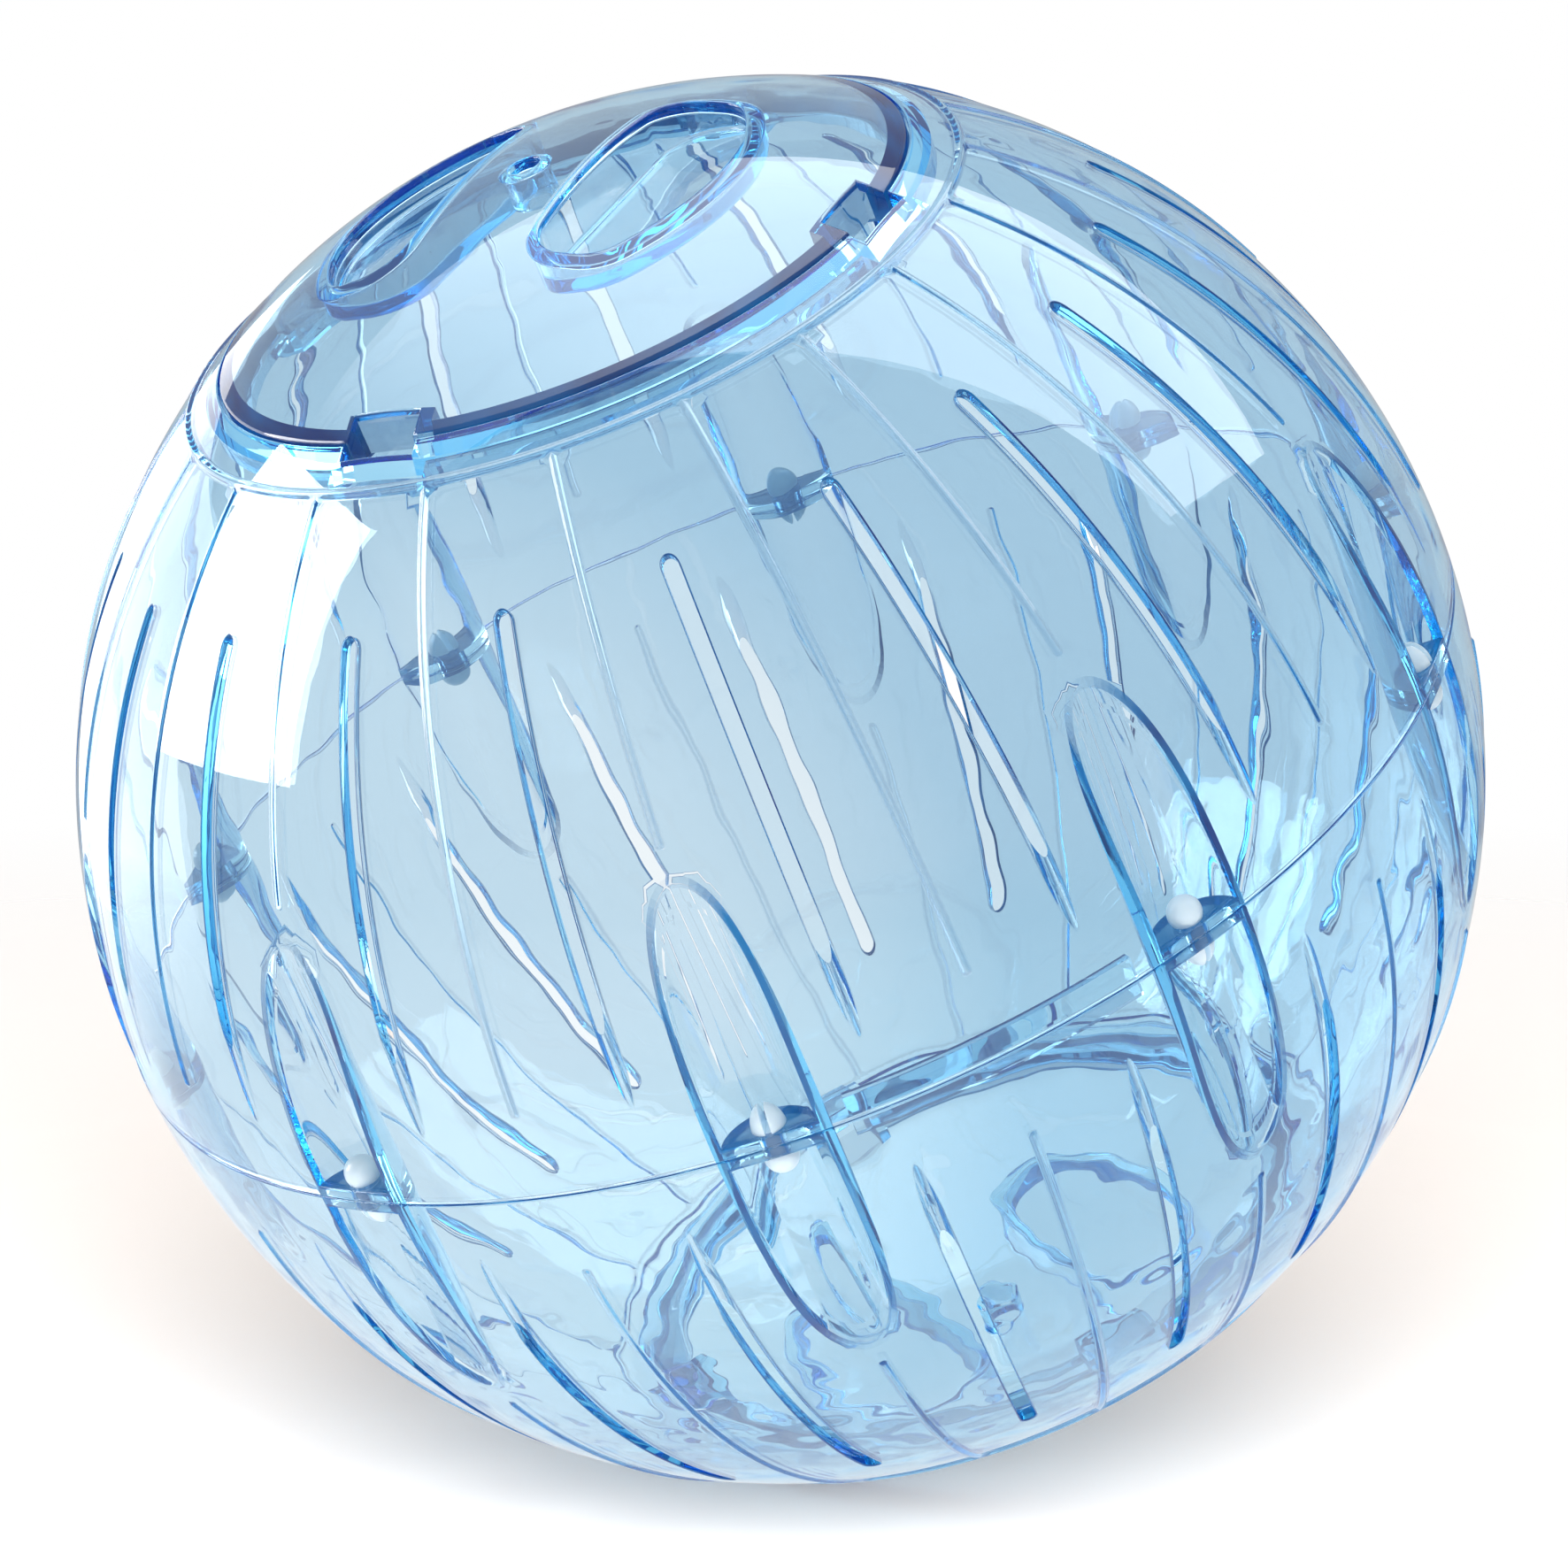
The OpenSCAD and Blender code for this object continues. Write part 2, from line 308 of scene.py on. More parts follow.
@dataclass(frozen=True)
class PhotoCamera:
    """The photograph's viewpoint, from above, with the ball's axis leaning left."""

    azimuth: float = -79.07
    elevation: float = 25.88
    lean: float = 22.75
    distance: float = 0.7128
    lens: float = 127.16
    sensor: float = 36.0
    shift_x: float = 0.00214
    shift_y: float = -0.00316

    def axes(self) -> Matrix:
        """Works out the camera's directions.

        Returns:
            Right, up and back as a matrix's columns.
        """
        azimuth, elevation, lean = map(math.radians, (self.azimuth, self.elevation, self.lean))
        back = Vector((math.cos(elevation) * math.cos(azimuth),
                       math.cos(elevation) * math.sin(azimuth), math.sin(elevation)))
        right = Vector((0, 0, 1)).cross(back).normalized()
        turned = right * math.cos(lean) - back.cross(right) * math.sin(lean)
        return Matrix((turned, back.cross(turned), back)).transposed()

    def place(self) -> None:
        """Adds the camera and makes it the scene's own."""
        data = bpy.data.cameras.new("photo_camera")
        data.lens, data.sensor_width = self.lens, self.sensor
        data.shift_x, data.shift_y = self.shift_x, self.shift_y
        data.clip_start, data.clip_end = 0.01, 50.0
        camera = in_scene(bpy.data.objects.new("photo_camera", data))
        axes = self.axes()
        camera.matrix_world = Matrix.Translation(axes.col[2] * self.distance) @ axes.to_4x4()
        bpy.context.scene.camera = camera


@dataclass
class Studio:
    """Pale floor under the tilted ball, a white surround and large soft lamps."""

    axes: Matrix
    up: Vector = Vector((0.3285, 0.3081, 0.8929))
    ball_r: float = 0.09
    floor_r: float = 1.6
    floor_turns: int = 96
    floor_colour: Triple = (0.93, 0.92, 0.915)
    floor_warmth: Triple = (1.0, 0.68, 0.45)
    floor_glow: float = 0.2
    floor_roughness: float = 0.7
    floor_gloss: float = 0.6
    fade_start: float = 1.6
    fade_length: float = 0.3
    fill: float = 0.3
    gloss_fill: float = 0.45

    def floor(self) -> bpy.types.Object:
        """Adds the disc on which the ball rests.

        Returns:
            The disc.
        """
        up = self.up.normalized()
        side = up.orthogonal().normalized()
        disc = round_circle(full_turn(self.floor_turns)) @ np.array([side, up.cross(side)])
        points = disc * self.floor_r - np.array(up) * self.ball_r
        mesh = bpy.data.meshes.new("floor")
        mesh.from_pydata(points.tolist(), [], [list(range(self.floor_turns))])
        mesh.materials.append(self.floor_finish())
        floor = in_scene(bpy.data.objects.new("floor", mesh))
        return floor

    def floor_finish(self) -> bpy.types.Material:
        """Builds the floor's material.

        Returns:
            Pale and matt, white in the plastic, and clear far away or from below.
        """
        material = bpy.data.materials.new("pale_floor")
        shader = Shader(material)
        place = shader.node("TexCoord", out="Object")
        under = tuple(-self.up.normalized() * self.ball_r)
        away = shader.node("VectorMath", {0: place, 1: under}, "Value", operation="DISTANCE")
        behind = shader.node("NewGeometry", out="Backfacing")
        near = (self.fade_start - away / self.fade_length).clamp() * (1 - behind)
        noise = shader.node("TexNoise", {"Vector": place, "Scale": 60.0, "Detail": 3.0})
        matt = shader.node("BsdfPrincipled", {
            "Base Color": (*self.floor_colour, 1.0),
            "Roughness": self.floor_roughness + noise * 0.1,
            "Specular IOR Level": 0.2,
            "Emission Color": (*self.floor_warmth, 1.0),
            "Emission Strength": self.floor_glow,
        })
        white = shader.node("Emission", {"Color": WHITE, "Strength": 1.0})
        gloss, through = shader.rays("Glossy", "Transmission")
        ground = shader.node("MixShader", {
            0: (through + gloss * self.floor_gloss).clamp(), 1: matt, 2: white})
        mixed = shader.node("MixShader", {0: near, 1: shader.node("BsdfTransparent"), 2: ground})
        shader.node("OutputMaterial", {"Surface": mixed})
        return material

    def world(self) -> None:
        """White to the eye and in the plastic, softer in its gloss and softer still as a fill."""
        world = bpy.data.worlds.new("white_surround")
        bpy.context.scene.world = world
        shader = Shader(world)
        camera, gloss, through = shader.rays("Camera", "Glossy", "Transmission")
        strength = (self.fill + (camera + through).clamp() * (1 - self.fill)
                    + gloss * (self.gloss_fill - self.fill)).clamp()
        surround = shader.node("Background", {"Color": WHITE, "Strength": strength})
        shader.node("OutputWorld", {"Surface": surround})

    def lamp(self, name: str, centre: Triple, across: Triple, along: Triple, radiance: float,
             fade: float = 0.0) -> bpy.types.Object:
        """A soft box, in metres right of, above and in front of the ball for the camera.

        Args:
            name: The lamp's name.
            centre: The middle of its face.
            across: One side, from corner to corner.
            along: The other side.
            radiance: How bright its face looks, where 1 is white.
            fade: Share of its width over which it fades out at the end where across begins.

        Returns:
            The lamp.
        """
        middle, side, rise = (self.axes @ Vector(way) for way in (centre, across, along))
        data = bpy.data.lights.new(name, "AREA")
        data.shape, data.size, data.size_y = "RECTANGLE", side.length, rise.length
        data.energy = radiance * math.pi * side.length * rise.length
        if fade:
            shader = Shader(data)
            spot = shader.node("NewGeometry", out="Parametric")
            start = shader.node("SeparateXYZ", {0: spot})
            glow = shader.node("Emission", {"Strength": (start / fade).clamp()})
            shader.node("OutputLight", {"Surface": glow})
        back = side.cross(rise).normalized()
        back *= math.copysign(1, back.dot(middle))
        side = side.normalized()
        lamp = in_scene(bpy.data.objects.new(name, data))
        lamp.matrix_world = Matrix.Translation(middle) @ Matrix(
            (side, back.cross(side), back)).transposed().to_4x4()
        return lamp

    def build(self) -> None:
        """Adds the floor, the surround and the lamps.

        Three lamps only show in the gloss, one lights the ball, and one draws its shadow.
        """
        floor = self.floor()
        self.world()
        for lamp in (
                self.lamp("left_soft_box", (-0.874, 0.287, -0.087), (0, -0.058, 0.552),
                          (0, 0.547, 0.057), 9.0),
                self.lamp("left_screen", (-0.95, -0.1, -0.85), (0.9, 0, -0.75), (0, 1.3, 0), 1.9),
                self.lamp("top_panel", (0.06, 0.8, 0.0), (2.26, 0, 0), (0, 0, 0.67), 2.7, 0.4)):
            lamp.visible_diffuse = False
        front = self.lamp("front_light", (0, 0.707, 0.708), (1.0, 0, 0), (0, -0.637, 0.636), 2.2)
        low = self.lamp("floor_light", (0, 0.259, 0.966), (1.0, 0, 0), (0, 0.869, -0.233), 8.0)
        for lamp in (front, low):
            lamp.visible_glossy = lamp.visible_transmission = False
        lit = bpy.data.collections.new("lit_by_floor_light")
        lit.objects.link(floor)
        low.light_linking.receiver_collection = lit


@dataclass(frozen=True)
class Dome:
    """A sphere around the origin, with a flat map of its upper side.

    Arcs through the pole keep their length on the map.
    """

    radius: float

    def over(self, plan: Points) -> Points:
        """Points of the sphere above plan points, by Pythagoras."""
        return np.column_stack([plan, np.sqrt(self.radius ** 2 - (plan ** 2).sum(1))])

    def flat(self, points: Points) -> Points:
        """Maps points of the sphere.

        Args:
            points: The points.

        Returns:
            Flat points, each straight out from the pole by its arc length.
        """
        out = np.hypot(points[:, 0], points[:, 1])
        arc = self.radius * np.arctan2(out, points[:, 2])
        return points[:, :2] * (arc / np.maximum(out, 1e-9))[:, None]

    def lift(self, flat: Points, height: Points | float = 0.0) -> Points:
        """Brings points of the flat map back to the sphere.

        Args:
            flat: The points on the map.
            height: How far they are raised above the sphere.

        Returns:
            The points in space.
        """
        arc = np.hypot(flat[:, 0], flat[:, 1])
        turn = arc / self.radius
        side = flat * (np.sin(turn) / np.maximum(arc, 1e-9))[:, None]
        reach = self.radius + np.asarray(height).reshape(-1, 1)
        return np.column_stack([side, np.cos(turn)]) * reach

    def beside(self, points: Points, distance: Points | float) -> Points:
        """A loop on the sphere, moved along it to its right, or left if the distance is below 0."""
        flat = self.flat(points)
        return self.lift(flat - sideways(flat) * distance)

    def level(self, z: float) -> float:
        """Radius of the sphere's circle at a height."""
        return math.sqrt(self.radius ** 2 - z ** 2)


def sideways(loop: Points) -> Points:
    """Directions to the left of a closed flat loop.

    Args:
        loop: The loop's points.

    Returns:
        The directions, longer at corners so that moved sides stay parallel.
    """
    ahead = np.roll(loop, -1, 0) - loop
    ahead /= np.linalg.norm(ahead, axis=1, keepdims=True)
    left = np.column_stack([-ahead[:, 1], ahead[:, 0]])
    middle = left + np.roll(left, 1, 0)
    middle /= np.linalg.norm(middle, axis=1, keepdims=True)
    return middle / np.maximum((middle * left).sum(1, keepdims=True), 0.4)


def turned(points: Points, degrees: float) -> Points:
    """Turns points around Z.

    Args:
        points: Plan points or points in space.
        degrees: The turn, to the left.

    Returns:
        The turned points.
    """
    c, s = math.cos(math.radians(degrees)), math.sin(math.radians(degrees))
    made, (x, y) = np.array(points, float), points[:, :2].T
    made[:, 0], made[:, 1] = x * c - y * s, x * s + y * c
    return made


def arc(centre: tuple[float, float], radius: float, start: float, end: float,
        step: float) -> Points:
    """Draws an arc.

    Args:
        centre: Its centre.
        radius: Its radius.
        start: Its first angle.
        end: Its last angle.
        step: About how far apart its points are.

    Returns:
        Points along the arc, both ends with it.
    """
    count = max(1, math.ceil(abs(math.radians(end - start)) * radius / step))
    angle = np.radians(np.linspace(start, end, count + 1))
    return np.column_stack([centre[0] + radius * np.cos(angle), centre[1] + radius * np.sin(angle)])


def round_circle(turn: Points) -> Points:
    """Flat points on the unit circle at angles in radians."""
    return np.stack([np.cos(turn), np.sin(turn)], -1)


def full_turn(count: int) -> Points:
    """Equally spaced angles in radians round a circle."""
    return np.linspace(0, 2 * np.pi, count, endpoint=False)


def circle(radius: float, step: float) -> Points:
    """Points about one step apart round a circle."""
    return arc((0, 0), radius, 0, 360, step)[:-1]


def line(*corners: tuple[float, float]) -> Points:
    """Draws straight lines.

    Args:
        corners: The corners that they join.

    Returns:
        Points about STEP apart, less the last corner.
    """
    parts = []
    for start, end in zip(corners, corners[1:]):
        start, end = np.array(start, float), np.array(end, float)
        count = max(1, round(np.linalg.norm(end - start) / STEP))
        parts.append(start + (end - start) * (np.arange(count) / count)[:, None])
    return np.concatenate(parts)


def spaced(path: Points, step: float) -> Points:
    """Spreads points evenly along a path.

    Args:
        path: The path.
        step: About how far apart the points are.

    Returns:
        The points, both ends of the path with them.
    """
    steps = np.linalg.norm(np.diff(path, axis=0), axis=1)
    along = np.concatenate([[0], np.cumsum(steps)])
    places = np.linspace(0, along[-1], max(2, round(along[-1] / step) + 1))
    return np.column_stack([np.interp(places, along, column) for column in path.T])


def at_height(plan: Points, z: float | Points) -> Points:
    """Plan points at a height."""
    return np.column_stack([plan[:, :2], np.broadcast_to(z, len(plan))])


def lowered(points: Points, depth: float | Points) -> Points:
    """Points moved down."""
    return at_height(points, points[:, 2] - depth)


def rounding(start: Points, corner: Points, end: Points, steps: int = 5) -> list[Points]:
    """Rings that round an edge, on curves that leave start towards corner and reach end from it."""
    t = np.linspace(0, 1, steps + 1)[:, None, None]
    return list((1 - t) ** 2 * start + 2 * t * (1 - t) * corner + t ** 2 * end)


def leftward(loop: Points) -> bool:
    """Whether a flat loop runs round its area to the left: its signed area is positive."""
    return float(np.cross(loop, np.roll(loop, -1, 0)).sum()) > 0


@dataclass
class Form:
    """A closed surface put together from strips and patches, with edge values that place the
    shader's painted edge blue.
    """

    points: list[Points] = field(default_factory=list)
    faces: list[list] = field(default_factory=list)
    edges: list[Points] = field(default_factory=list)
    size: int = 0

    def _keep(self, points: Points, faces: list, edge: Points | float = 0.0) -> None:
        """Adds a part.

        Args:
            points: Its points.
            faces: Each face's points by their numbers in the whole form.
            edge: Edge values of its faces, repeated as needed.
        """
        self.points.append(points)
        self.faces.append(faces)
        self.edges.append(np.resize(edge, len(faces)))
        self.size += len(points)

    def strip(self, *rings: Points, closed: bool = True, edge: Points | float = 0.0) -> None:
        """Adds quads between neighbouring rings of equally many points.

        Args:
            rings: The rings.
            closed: Whether each ring's last point meets its first one.
            edge: One edge value, or one for each place along the rings.
        """
        count = len(rings[0])
        here = np.arange(count if closed else count - 1)
        rows = np.arange(len(rings) - 1)[:, None] * count + self.size
        low, low_next = (here + rows).ravel(), ((here + 1) % count + rows).ravel()
        quads = np.stack([low, low_next, low_next + count, low + count], 1)
        self._keep(np.concatenate(rings), quads.tolist(), edge)

    def patch(self, loops: list[Points], flat_loops: list[Points], inside: list[Points],
              flat_inside: list[Points], edge: Callable[[Points], Points] | float = 0.0) -> None:
        """Adds triangles between closed loops, through points that lie between them.

        Args:
            loops: The outer loop and the loops of any holes.
            flat_loops: The same loops on a flat map.
            inside: Points between the loops, if any.
            flat_inside: The same points on the map.
            edge: The triangles' edge value, or what gives it from their middles on the map.
        """
        flat = np.concatenate(flat_loops + flat_inside)
        rims, start = [], 0
        for loop in flat_loops:
            rim = list(range(start, start + len(loop)))
            rims.append(rim if leftward(loop) else rim[::-1])
            start += len(loop)
        found = delaunay_2d_cdt([Vector(p) for p in flat.tolist()], [], rims, 0, 1e-5, True)
        origin = np.array([ids[0] if ids else -1 for ids in found[3]])
        if (origin < 0).any():
            raise ValueError(f"loops cross at {(origin < 0).sum()} places in a patch")
        between = origin[[face for face, areas in zip(found[2], found[5]) if areas == [0]]]
        value = edge(flat[between].mean(1)) if callable(edge) else edge
        self._keep(np.concatenate(loops + inside), (between + self.size).tolist(), value)

    def plate(self, *loops: Points, edge: float = 0.0) -> None:
        """Adds a flat level face between closed loops."""
        self.patch(list(loops), [loop[:, :2] for loop in loops], [], [], edge)

    def polygon(self, loop: Points) -> None:
        """Adds one face with any number of corners."""
        self._keep(loop, [list(range(self.size, self.size + len(loop)))])

    def skin(self, dome: Dome, loops: list[Points], grid: Points, height: Points | float = 0.0,
             edge: Callable[[Points], Points] | float = 0.0) -> None:
        """Adds a dome between loops, through points of its map that are raised by a height."""
        flat = [dome.flat(loop) for loop in loops]
        self.patch(loops, flat, [dome.lift(grid, height)], [grid], edge)

    def build(self, name: str, domes: tuple[float, ...] = (),
              place: Matrix | None = None) -> bpy.types.Object:
        """Makes the object, with its points welded and its faces outwards.

        Args:
            name: The piece's name.
            domes: Radii of spheres on which the surface gets the sphere's own normals.
            place: How the form is turned into its place.

        Returns:
            The object, at the origin, with its place in its mesh.
        """
        mesh = bpy.data.meshes.new(name)
        mesh.from_pydata((np.concatenate(self.points) * MM).tolist(), [],
                         [face for part in self.faces for face in part])
        # edge values: how much painted edge blue, for shade and guided light, each face gets
        values = mesh.attributes.new("edge", "FLOAT", "FACE").data
        values.foreach_set("value", np.concatenate(self.edges))
        work = bmesh.new()
        work.from_mesh(mesh)
        bmesh.ops.remove_doubles(work, verts=work.verts, dist=2e-6)
        bmesh.ops.dissolve_degenerate(work, edges=work.edges, dist=1e-6)
        loose = [vert for vert in work.verts if not vert.link_faces]
        bmesh.ops.delete(work, geom=loose, context="VERTS")
        bmesh.ops.recalc_face_normals(work, faces=work.faces)
        bmesh.ops.triangulate(work, faces=[face for face in work.faces if len(face.verts) > 4])
        open_edges = sum(not edge.is_manifold for edge in work.edges)
        if work.calc_volume(signed=True) < 0:
            bmesh.ops.reverse_faces(work, faces=work.faces)
        work.to_mesh(mesh)
        work.free()
        smooth(mesh, domes)
        if place is not None:
            mesh.transform(place)
        log.info("%s: %d faces, %d open edges", name, len(mesh.polygons), open_edges)
        return in_scene(bpy.data.objects.new(name, mesh))


def smooth(mesh: bpy.types.Mesh, domes: tuple[float, ...]) -> None:
    """Shades a mesh smooth up to its sharp edges, and exactly round where it follows a sphere.

    Args:
        mesh: The mesh, not yet turned into its place.
        domes: The spheres' radii in millimetres.
    """
    mesh.polygons.foreach_set("use_smooth", np.ones(len(mesh.polygons), bool))
    mesh.set_sharp_from_angle(angle=math.radians(40))
    if not domes:
        return
    points, normals = np.empty(len(mesh.vertices) * 3), np.empty(len(mesh.loops) * 3)
    corner = np.empty(len(mesh.loops), int)
    mesh.vertices.foreach_get("co", points)
    mesh.loops.foreach_get("vertex_index", corner)
    mesh.corner_normals.foreach_get("vector", normals)
    points, normals = points.reshape(-1, 3), normals.reshape(-1, 3)
    reach = np.linalg.norm(points, axis=1)
    radial = (points / reach[:, None])[corner]
    for radius in domes:
        agreed = (radial * normals).sum(1)
        on_it = (np.abs(reach - radius * MM) < 2e-6)[corner] & (np.abs(agreed) > 0.99)
        normals[on_it] = radial[on_it] * np.sign(agreed[on_it])[:, None]
    mesh.normals_split_custom_set(normals.tolist())


def lattice(reach: float, step: float) -> Points:
    """Spreads points over a disc.

    Args:
        reach: The disc's radius.
        step: How far apart they are.

    Returns:
        Flat points in rows, each row half a step on from the last.
    """
    rows = np.arange(-reach, reach, step * math.sqrt(0.75))
    x, y = np.meshgrid(np.arange(-reach, reach, step), rows)
    x = x + (np.arange(len(rows)) % 2)[:, None] * step / 2
    points = np.column_stack([x.ravel(), y.ravel()])
    return points[np.hypot(*points.T) < reach]


def clear_of(points: Points, fixed: Points, gap: float) -> Points:
    """Leaves out points near others.

    Args:
        points: Flat points.
        fixed: The others.
        gap: The distance to keep.

    Returns:
        The points that keep it.
    """
    tree = KDTree(len(fixed))
    for index, (x, y) in enumerate(fixed.tolist()):
        tree.insert((x, y, 0.0), index)
    tree.balance()
    return points[np.array([tree.find((x, y, 0.0))[2] > gap for x, y in points.tolist()])]


@dataclass(frozen=True)
class NotchedCircle:
    """A level circle that steps in or out, square to its radius, at every lug."""

    corner: float
    notches: list[Points]
    arcs: list[Points]

    @property
    def loop(self) -> Points:
        """The whole circle."""
        parts = zip(self.notches, self.arcs)
        return np.concatenate([part for notch, span in parts for part in (notch, span[:-1])])


@dataclass
class BallPart(Form):
    """A form with the sizes that the halves and the lids share, as the solids have them."""

    ball_r: float = 90.0
    wall: float = 1.6
    opening_r: float = 45.4
    rim_h: float = 3.5
    ledge_w: float = 3.4
    ledge_t: float = 1.4
    seat_gap: float = 0.2
    lug_sides: tuple[float, ...] = (0.0, 90.0, 180.0, 270.0)
    lid_turn: float = -27.5
    edge: float = 0.35
    grid: float = 2.2

    @property
    def outer(self) -> Dome:
        """The ball's outer surface."""
        return Dome(self.ball_r)

    @property
    def inner(self) -> Dome:
        """The ball's inner surface."""
        return Dome(self.ball_r - self.wall)

    @property
    def rim_z(self) -> float:
        """Height of the underside of a lid's rim."""
        return self.outer.level(self.opening_r) - self.rim_h

    def notched(self, radius: float, reach: float, half: float,
                marks: tuple[float, ...] = ()) -> NotchedCircle:
        """Works out a circle that makes room for the lugs.

        Args:
            radius: The circle's radius.
            reach: Distance from the centre to a notch's back.
            half: Half of a notch's width.
            marks: Places along a notch's back that get a point of their own.

        Returns:
            The circle.
        """
        corner = math.sqrt(radius ** 2 - half ** 2)
        turn = math.degrees(math.asin(half / radius))
        back = [(reach, y) for y in (-half, *marks, half)]
        notch = line((corner, -half), *back, (corner, half))
        span = arc((0, 0), radius, turn, self.lug_sides[1] - turn, STEP)
        return NotchedCircle(corner, *(
            [turned(part, side) for side in self.lug_sides] for part in (notch, span)))


@dataclass
class HalfShell(BallPart):
    """One half of the ball above its seam, with slots, pin channels, ribs and a ledge for a lid.

    A blue is an edge value: the share of painted edge blue, which is painted shade and guided
    light, where 1 is darkest. A step is the distance between points.
    """

    lip_sector: int | None = None
    pitch: float = 36.0
    first_pin: float = -90.0
    seam_z: float = 0.04
    seam_edge: float = 0.25
    seam_step: float = 1.5
    # painted guided light: a faint painted edge blue on the seam's face
    seam_painted_blue: float = 0.12
    slot_w: float = 2.0
    slot_edge: float = 0.2
    slot_near: float = 64.45
    slot_far: float = 87.95
    slot_angle: float = 9.0
    slot_step: float = 1.3
    slot_end_step: float = 0.28
    # painted shade and guided light: how much painted edge blue the slots' rims and walls get
    slot_painted_blue: float = 1.0
    slot_wall_painted_blue: float = 0.1
    channel_r: float = 5.9
    channel_x: float = 89.7
    channel_wall: float = 1.4
    channel_step: float = 0.9
    channel_rim: float = 0.75
    # painted shade and guided light: painted edge blue of the channels, tabs and pin holes
    channel_painted_blue: float = 0.95
    tab_t: float = 1.5
    tab_gap: float = 0.2
    tab_painted_blue: float = 0.4
    pin_x: float = 87.5
    pin_hole_r: float = 1.6
    pin_hole_painted_blue: float = 0.6
    ring_r: float = 50.8
    ring_w: float = 1.4
    ring_h: float = 0.4
    rib_w: float = 1.1
    rib_h: float = 0.3
    rib_step: float = 1.6
    rib_end_step: float = 0.14
    rib_gap: float = 0.25
    long_rib_z: float = 11.6
    short_rib_z: float = 37.3
    bead_reach: float = 0.62
    # painted shade along the ribs and the ring
    bead_painted_blue: float = 0.22
    lip_h: float = 2.6
    lip_t: float = 1.2
    lip_gap: float = 0.15
    lip_angle: float = 24.0
    collar_wall: float = 1.6
    notch_r: float = 46.8
    notch_half: float = 5.3
    mouth_reach: float = 44.0

    def pins(self) -> Points:
        """Directions of the pins."""
        return self.first_pin + self.pitch * np.arange(round(360 / self.pitch))

    def beads(self) -> tuple[float, list[tuple[float, float]]]:
        """Places the ring and the ribs on the flat map.

        Returns:
            The ring's radius, and each rib's direction from a pin and lower end.
        """
        radius = self.ball_r
        ribs = ((0.0, self.short_rib_z), (self.pitch / 2, self.long_rib_z))
        return radius * math.asin(self.ring_r / radius), [
            (shift, radius * math.acos(z / radius)) for shift, z in ribs]

    def bead(self, flat: Points) -> tuple[Points, Points]:
        """The ribs and the ring, each cosine squared across, at points of the flat map.

        Args:
            flat: The points.

        Returns:
            The height there and the distance to the nearest bead.
        """
        radius, (ring, ribs) = self.ball_r, self.beads()
        out = np.hypot(*flat.T)
        angle = np.degrees(np.arctan2(flat[:, 1], flat[:, 0])) - self.first_pin
        found = [(np.abs(out - ring), self.ring_w, self.ring_h)]
        for shift, end in ribs:
            away = (angle - shift + self.pitch / 2) % self.pitch - self.pitch / 2
            across = radius * np.sin(out / radius) * np.radians(away)
            past = np.maximum(0, np.maximum(out - end, ring - out))
            found.append((np.hypot(across, past), self.rib_w, self.rib_h))
        heights = [tall * np.cos(np.pi / 2 * np.clip(away / (self.bead_reach * wide), 0, 1)) ** 2
                   for away, wide, tall in found]
        return np.max(heights, 0), np.min([away for away, _, _ in found], 0)

    def bead_sides(self, flat: Points) -> Points:
        """Edge values at points of the flat map, for painted shade along the beads: highest halfway
        up their sides.
        """
        rise = np.clip(self.bead(flat)[0] / self.rib_h, 0, 1)
        return 2 * self.bead_painted_blue * np.sqrt(rise * (1 - rise))

    def bead_points(self) -> Points:
        """Points of the flat map, in rows along the ring and the ribs.

        Returns:
            The points, close together across the beads.
        """
        radius, (ring, ribs) = self.ball_r, self.beads()
        across = np.linspace(-1, 1, 9) * self.bead_reach
        reach = (ring + across * self.ring_w)[:, None, None]
        parts = [(reach * round_circle(full_turn(240))).reshape(-1, 2)]
        start = ring + self.bead_reach * self.ring_w + self.rib_gap
        for shift, end in ribs:
            along = np.concatenate([np.linspace(start, end, round((end - start) / self.rib_step)),
                                    end + np.arange(1, 6) * self.rib_end_step])[:, None]
            turn = across * self.rib_w / (radius * np.sin(along / radius))
            rib = (along[:, None] * round_circle(turn)).reshape(-1, 2)
            parts += [turned(rib, pin + shift) for pin in self.pins()]
        return np.concatenate(parts)

    def slot(self) -> Points:
        """Draws an air slot that runs out along X.

        Returns:
            Its plan, with points as dense as on the ball.
        """
        half = self.slot_w / 2
        start, end = self.slot_near + half, self.slot_far - half
        x = np.linspace(start, end, 800)
        path = self.outer.over(np.column_stack([x, np.full(len(x), half)]))
        side = spaced(path, self.slot_step)[:, :2]
        return np.concatenate([
            (side * [1, -1])[:-1], arc((end, 0), half, -90, 90, self.slot_end_step)[:-1],
            side[::-1][:-1], arc((start, 0), half, 90, 270, self.slot_end_step)[:-1]])

    def cut_slots(self) -> tuple[list[Points], list[Points]]:
        """Adds the walls of all the slots, with rounded edges.

        The walls stand square to the ball at the upper ends and turn towards Z on the way down.

        Returns:
            The slots' loops on the outer and on the inner surface.
        """
        outer, inner, edge = self.outer, self.inner, self.slot_edge
        outside, within = [], []
        plan = self.slot()
        low = np.clip((plan[:, 0] - self.slot_near) / (self.slot_far - self.slot_near), 0, 1)
        drawn_in = inner.radius / outer.radius + (1 - inner.radius / outer.radius) * low
        under = plan * np.column_stack([drawn_in, np.ones(len(plan))])
